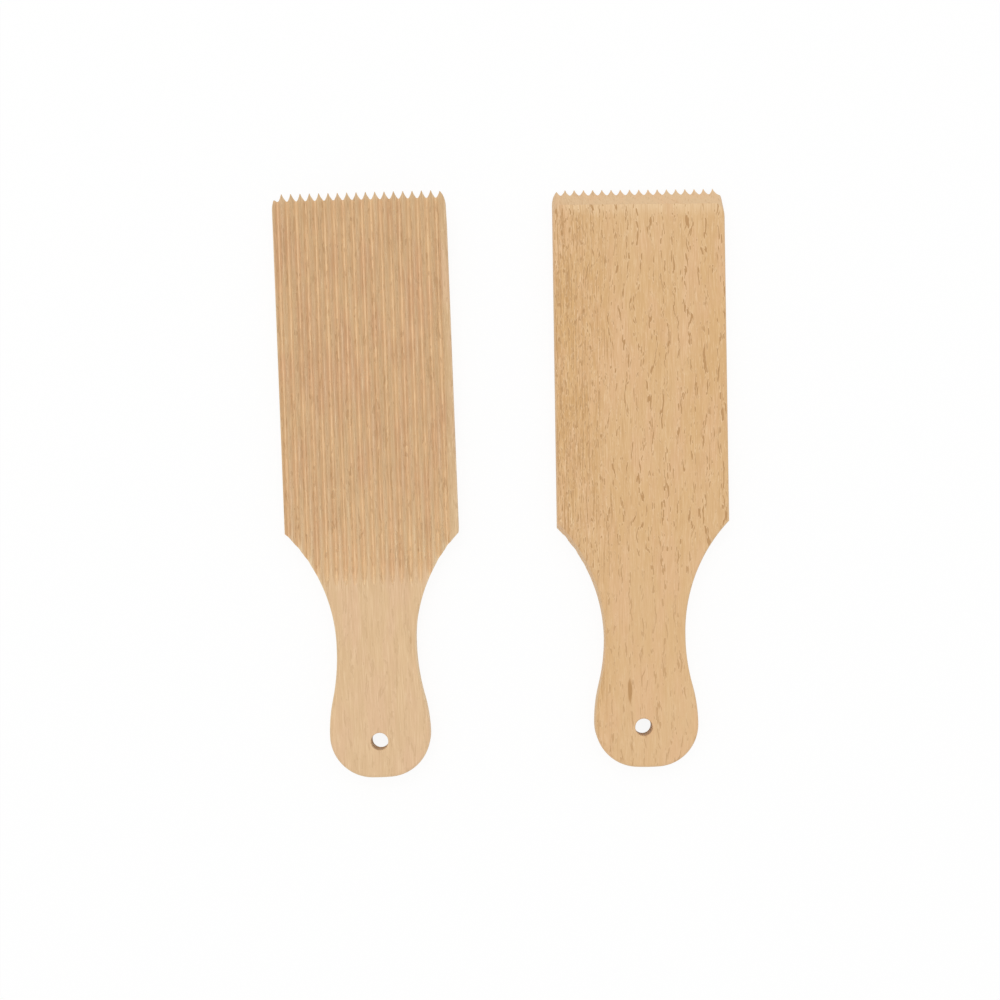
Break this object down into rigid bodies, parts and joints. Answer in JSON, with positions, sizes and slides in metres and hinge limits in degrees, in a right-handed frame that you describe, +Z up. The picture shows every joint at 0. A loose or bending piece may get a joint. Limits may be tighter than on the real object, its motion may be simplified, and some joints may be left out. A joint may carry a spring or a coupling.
{
  "type": "gnocchi board",
  "caption": "Pair of one-piece beech gnocchi boards: ridged rolling blade with bevelled toothed end, curved shoulders, paddle handle with hanging hole, one lying ridges up and one back up.",
  "frame": {"origin": "on the surface the boards lie on, below the middle of the pair's bounding box", "axes": "+Y runs from the handle ends to the toothed ends, +X across from the board with its ridges up to the board with its back up, +Z up"},
  "size_m": [0.1598, 0.207, 0.009],
  "materials": {
    "beech_ridged": "untreated sanded beech, fine straight grain",
    "beech_back": "untreated sanded beech with ray flecks"
  },
  "bodies": {
    "root": {"board_ridges_up": "beech_ridged", "board_back_up": "beech_back"}
  },
  "joints": []
}
